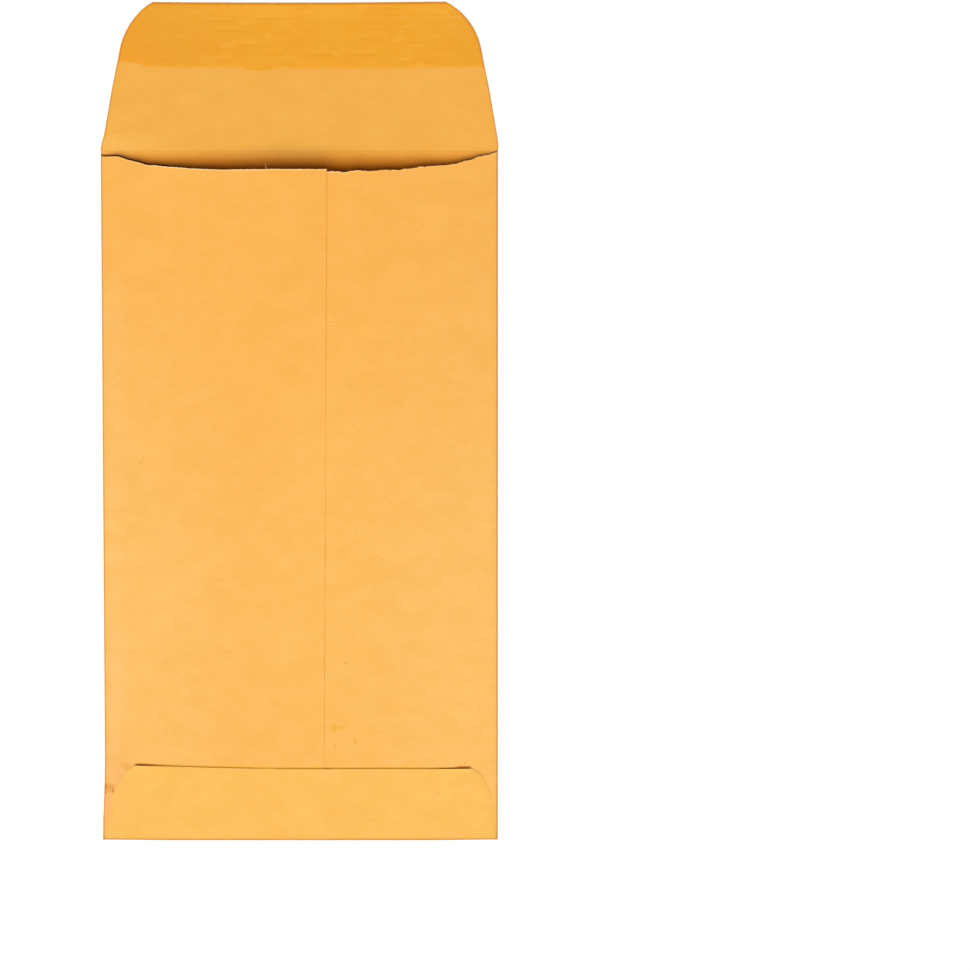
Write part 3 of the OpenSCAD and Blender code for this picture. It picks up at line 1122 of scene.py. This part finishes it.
    def bottom(self, sheet: SheetMesh, first: Array) -> None:
        """Carry the front round the bottom fold and up over the back as the bottom flap.

        The fold is a half circle round the plies. Past it, rows are heights above the fold, and the
        flap lies on the back plies, bridging the seam's step in a soft ramp. Its side edges are
        pressed thinner.

        Args:
            sheet: The mesh to add to.
            first: Numbers of the corners where the front meets the fold.
        """
        s, flap = self.sizes, self.bottom_flap
        r = flap.nose_r
        q = 1 - 2 * np.linspace(0, 1, self.front_columns)
        turn = np.linspace(0, math.pi, self.nose_rows + 1)[1:, None]
        x = np.broadcast_to((s.half_w - flap.foot_inset) * q, (self.nose_rows, q.size))
        wraps = [
            np.stack([x, x * 0 + s.bottom_y + r - rho * np.sin(turn), x * 0 + r - rho * np.cos(turn)], -1)
            for rho in (r, r - s.paper_t)
        ]
        h = flap.height * np.linspace(0, 1, self.bottom_rows + 1)[1:] ** 0.85
        h = np.concatenate([self.foot_rows, h])
        across = flap.half_width(h)[:, None] * q[None, :]
        hh = np.broadcast_to(h[:, None], across.shape)
        x = across + flap.skew * hh / flap.height
        y = s.bottom_y + r + (hh - r) * (1 + flap.top_wave(x) / flap.height)
        seam = s.seam_at(y)
        step = smooth(s.seam_x - s.lap_w - 1.5, s.seam_x - s.lap_w, x) * (1 - smooth(0.0, 1.6, x - seam))
        z = 2 * s.fold_r(y) + s.bow(x, y) + (s.paper_t + s.ply_gap) * (1 + step) + flap.lift(across, hh)
        thin = flap.pressed * (1 - smooth(0.0, 0.5, flap.half_width(hh) - np.abs(across)))
        outer = np.concatenate([wraps[0], np.stack([x, y, z - thin], axis=-1)])
        inner = np.concatenate([wraps[1], np.stack([x, y, z - s.paper_t], axis=-1)])
        numbers = sheet.corners(outer, inner, lapped=1.0)
        sheet.faces(np.concatenate([first[None, :], numbers]))

    def dress(self, piece: Any, finish: KraftPaper) -> None:
        """Give the sheet its paper and its place in the model."""
        piece.data.materials.append(finish.material(self.sizes))
        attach(piece, "root")
        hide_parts("envelope_sheet")


@dataclass
class GumBand:
    """The dried gum along the top of the seal flap, a film with a wavy lower edge."""

    sizes: EnvelopeSizes
    seal_flap: SealFlap
    height: float = 13.37
    thickness: float = 0.05
    margin: float = 0.2
    gap: float = 0.002
    # Its lower edge is worked out over this half width, and thins to this share over this height
    edge_half_w: float = 36.0
    edge_share: float = 0.12
    taper: float = 0.6
    columns: int = 180
    rows: int = 34
    sharp: float = 60.0

    def lower_edge(self, x: Array) -> Array:
        """Height of the gum's lower edge above the score line.

        It hangs lowest in a short dip left of the middle, lies a little higher on both sides of it
        and climbs steeply at its left end.
        """
        end = 1.15 * (1 - np.clip((x + 36.3) / 6.5, 0.0, 1.0) ** 2)
        left = 0.3 * (1 - smooth(-13.5, -10.0, x)) + end
        dip = 0.42 * np.exp(-(((x + 8.2) / 2.6) ** 2))
        right = 0.22 * smooth(22.0, 26.0, x)
        uneven = 0.05 * ragged(x, 19, 2.3) + 0.05 * ragged(x, 20, 6.0) + 0.03 * ragged(x, 21, 0.8)
        return self.sizes.flap_l - self.height + left - dip + right + uneven

    def build(self) -> Any:
        """Build the film's mesh and return its object.

        Rows run from the wavy lower edge to the flap's top, columns across the flap's width at that
        height. The film thins to nearly nothing at its lower edge.
        """
        s = self.sizes
        q = np.linspace(1, -1, self.columns)
        v = np.linspace(0, 1, self.rows) ** 1.5
        low = self.lower_edge(q * self.edge_half_w)
        h = low[None, :] + v[:, None] * (s.flap_l - self.margin - low[None, :])
        x = (self.seal_flap.half_width(h) - self.margin) * q[None, :]
        base = self.seal_flap.under(x, h) + s.paper_t + self.gap
        full = self.edge_share + (1 - self.edge_share) * smooth(0.0, self.taper, h - low[None, :])
        film = SheetMesh()
        y = s.score_y + h
        bottom = np.stack([x, y, base], axis=-1)
        top = np.stack([x, y, base + self.thickness * full], axis=-1)
        film.faces(film.corners(bottom, top))
        corners, faces, _ = film.closed()
        h = corners[:, 1] - s.score_y
        side = self.seal_flap.half_width(h) - np.abs(corners[:, 0])
        values = {"rim": np.clip(np.minimum(side, s.flap_l - h), 0.0, FAR)}
        return mesh_object("gum_film", s.out_of_square(corners), faces, values, self.sharp)

    def dress(self, piece: Any, finish: DriedGum) -> None:
        """Give the film its gum and its place in the model."""
        piece.data.materials.append(finish.material(self.sizes))
        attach(piece, "root")
        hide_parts("flap_gum")


@dataclass
class Studio:
    """A white floor, a soft lamp high at the envelope's foot, a faint even sky and a camera above."""

    floor_size: float = 3000.0
    floor_z: float = -0.02
    white: str = "#FFFFFF"
    lens: float = 150.0
    sensor: float = 36.0
    sky: float = 0.12
    lamp: float = 3.12
    lamp_height: float = 60.5
    lamp_heading: float = 261.0
    lamp_spread: float = 44.0
    floor_glow: float = 0.04

    def floor(self) -> None:
        """Lay the floor just under the envelope."""
        half, z = self.floor_size / 2, self.floor_z
        corners = np.array([[-half, -half, z], [half, -half, z], [half, half, z], [-half, half, z]])
        floor = mesh_object("floor", corners, np.array([[0, 1, 2, 3]]))
        card = Shading(bpy.data.materials.new("white_card"))
        links = {
            "Base Color": self.white,
            "Roughness": 0.9,
            "Specular IOR Level": 0.0,
            "Emission Color": self.white,
            "Emission Strength": self.seen(card) * self.floor_glow,
        }
        floor.data.materials.append(card.principled(links))

    def seen(self, shading: Shading) -> Value:
        """Tell the rays that show the background, seen straight or in a gloss, from those that light."""
        camera, gloss, through = (
            shading.add("LightPath", out=f"Is {ray} Ray") for ray in ("Camera", "Glossy", "Transmission")
        )
        return camera.maths("MAXIMUM", gloss).maths("MAXIMUM", through)

    def lights(self) -> None:
        """Set the even sky and the soft lamp, which together light a level sheet at about 1."""
        world = Shading(bpy.data.worlds.new("studio"))
        links = {"Value": self.seen(world), "To Min": self.sky, "To Max": 1.0}
        sky = world.add("Background", {"Color": self.white, "Strength": world.add("MapRange", links)})
        world.add("OutputWorld", {"Surface": sky})
        bpy.context.scene.world = world.block
        data = bpy.data.lights.new("soft_lamp", "SUN")
        data.energy = self.lamp
        data.angle = math.radians(self.lamp_spread)
        lamp = new_object("soft_lamp", data)
        lamp.rotation_euler = (math.radians(90 - self.lamp_height), 0, math.radians(self.lamp_heading - 270))

    def camera(self) -> None:
        """Hang the camera straight above the middle of the photograph's frame, with +Y up."""
        data = bpy.data.cameras.new("camera")
        data.sensor_fit = "HORIZONTAL"
        data.sensor_width = self.sensor
        data.lens = self.lens
        across = PHOTO_W / PIXELS_PER_MM
        x = (PHOTO_W / 2 - BODY_MIDDLE_PX) / PIXELS_PER_MM
        y = -(PHOTO_H / 2 - OUTLINE_MIDDLE_PX) / PIXELS_PER_MM
        camera = new_object("camera", data)
        camera.location = (x * MM, y * MM, across * self.lens / self.sensor * MM)
        data.clip_start = 0.01
        bpy.context.scene.camera = camera

    def build(self) -> None:
        """Set up the floor, the lights, the camera and the view."""
        bpy.context.scene.view_settings.view_transform = "Standard"
        self.floor()
        self.lights()
        self.camera()


@dataclass
class Envelope:
    """The whole envelope: its sheet and its gum."""

    sizes: EnvelopeSizes = field(default_factory=EnvelopeSizes.from_frame)

    def build(self) -> None:
        """Build and dress both pieces."""
        seal_flap = SealFlap(self.sizes)
        sheet = FoldedSheet(self.sizes, seal_flap, BottomFlap(self.sizes))
        piece = sheet.build()
        sheet.dress(piece, KraftPaper())
        report(piece)
        gum = GumBand(self.sizes, seal_flap)
        piece = gum.build()
        gum.dress(piece, DriedGum())
        report(piece)


def report(piece: Any) -> None:
    """Log a piece's name and number of faces."""
    LOG.info("%s: %d faces", piece.name, len(piece.data.polygons))


def main() -> None:
    logging.basicConfig(level=logging.INFO, format="%(name)s %(message)s")
    Studio().build()
    Envelope().build()
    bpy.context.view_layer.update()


if __name__ == "__main__":
    main()
